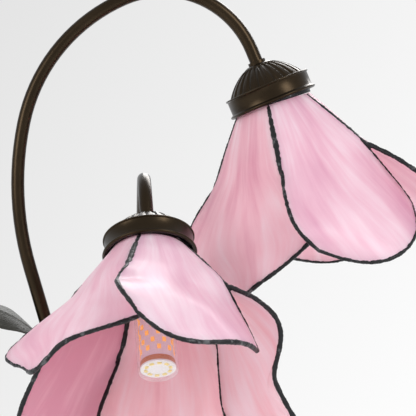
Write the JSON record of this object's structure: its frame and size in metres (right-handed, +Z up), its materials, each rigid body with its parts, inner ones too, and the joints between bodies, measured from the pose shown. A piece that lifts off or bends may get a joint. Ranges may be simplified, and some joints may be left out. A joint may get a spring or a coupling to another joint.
{
  "type": "two-light lily table lamp",
  "caption": "Table lamp with two bronze goosenecks on a round weighted base, each ending in a fluted holder with an open lily shade of bent pink glass petals.",
  "frame": {"origin": "centre of the face that the base stands on", "axes": "+Z up; +X towards the upper shade; -Y towards the lower shade, which is the viewing side"},
  "size_m": [0.4172, 0.3958, 0.5489],
  "materials": {
    "bronze": "satin antique bronze coating on steel",
    "leaf_bronze": "dull dark green-grey bronze coating",
    "solder": "black patinated lead-tin solder, uneven and slightly glossy",
    "petal_glass": "streaky pink and mauve opal glass, glossy",
    "clear_cover": "clear water-white plastic",
    "led_board": "white lacquered circuit board",
    "led_chip": "yellow-orange phosphor",
    "lamp_cap_metal": "bright nickel",
    "white_plastic": "white moulded plastic",
    "black_plastic": "black phenolic moulding",
    "brass": "plain brass",
    "zinc_steel": "zinc-plated steel",
    "iron": "black cast iron",
    "felt": "dark green felt",
    "rubber": "black rubber",
    "wire_sleeve": "pale gold PVC lead sleeve"
  },
  "bodies": {
    "stand": {"base_ballast": "iron", "base_cover": "bronze", "base_felt_pad": "felt", "cable_gland": "rubber", "low_arm_leaf": "leaf_bronze", "low_arm_tube": "bronze", "low_arm_wire": "wire_sleeve", "lower_arm_collar": "bronze", "lower_centre_contact": "brass", "lower_holder_band": "bronze", "lower_holder_dome": "bronze", "lower_lampholder": "black_plastic", "lower_nipple": "zinc_steel", "lower_nipple_nut": "zinc_steel", "lower_ring_nut": "black_plastic", "lower_screw_shell": "brass", "stem_hub": "bronze", "tall_arm_leaf": "leaf_bronze", "tall_arm_tube": "bronze", "tall_arm_wire": "wire_sleeve", "terminal_block": "white_plastic", "tie_bolt": "zinc_steel", "tie_washer": "zinc_steel", "upper_arm_collar": "bronze", "upper_centre_contact": "brass", "upper_holder_band": "bronze", "upper_holder_dome": "bronze", "upper_lampholder": "black_plastic", "upper_nipple": "zinc_steel", "upper_nipple_nut": "zinc_steel", "upper_ring_nut": "black_plastic", "upper_screw_shell": "brass"},
    "upper_shade": {"upper_shade_collar": "solder", "upper_leading": "solder", "upper_petal_1": "petal_glass", "upper_petal_2": "petal_glass", "upper_petal_3": "petal_glass", "upper_petal_4": "petal_glass", "upper_petal_5": "petal_glass"},
    "lower_shade": {"lower_shade_collar": "solder", "lower_leading": "solder", "lower_petal_1": "petal_glass", "lower_petal_2": "petal_glass", "lower_petal_3": "petal_glass", "lower_petal_4": "petal_glass", "lower_petal_5": "petal_glass"},
    "upper_lamp": {"upper_lamp_cap": "lamp_cap_metal", "upper_lamp_core": "led_board", "upper_lamp_cover": "clear_cover", "upper_lamp_end_disc": "led_board", "upper_lamp_leds": "led_chip", "upper_lamp_neck": "white_plastic"},
    "lower_lamp": {"lower_lamp_cap": "lamp_cap_metal", "lower_lamp_core": "led_board", "lower_lamp_cover": "clear_cover", "lower_lamp_end_disc": "led_board", "lower_lamp_leds": "led_chip", "lower_lamp_neck": "white_plastic"}
  },
  "joints": [
    {"name": "upper_shade_turn", "type": "hinge", "parent": "stand", "child": "upper_shade", "pos_m": [0.09872, 0, 0.45873], "axis": [0.3827, 0, -0.9239], "continuous": true},
    {"name": "lower_shade_turn", "type": "hinge", "parent": "stand", "child": "lower_shade", "pos_m": [0.00719, -0.10026, 0.34503], "axis": [0.0747, -0.5276, -0.8462], "continuous": true},
    {"name": "upper_lamp_turn", "type": "hinge", "parent": "stand", "child": "upper_lamp", "pos_m": [0.09872, 0, 0.45873], "axis": [0.3827, 0, -0.9239], "continuous": true},
    {"name": "lower_lamp_turn", "type": "hinge", "parent": "stand", "child": "lower_lamp", "pos_m": [0.00719, -0.10026, 0.34503], "axis": [0.0747, -0.5276, -0.8462], "continuous": true}
  ]
}
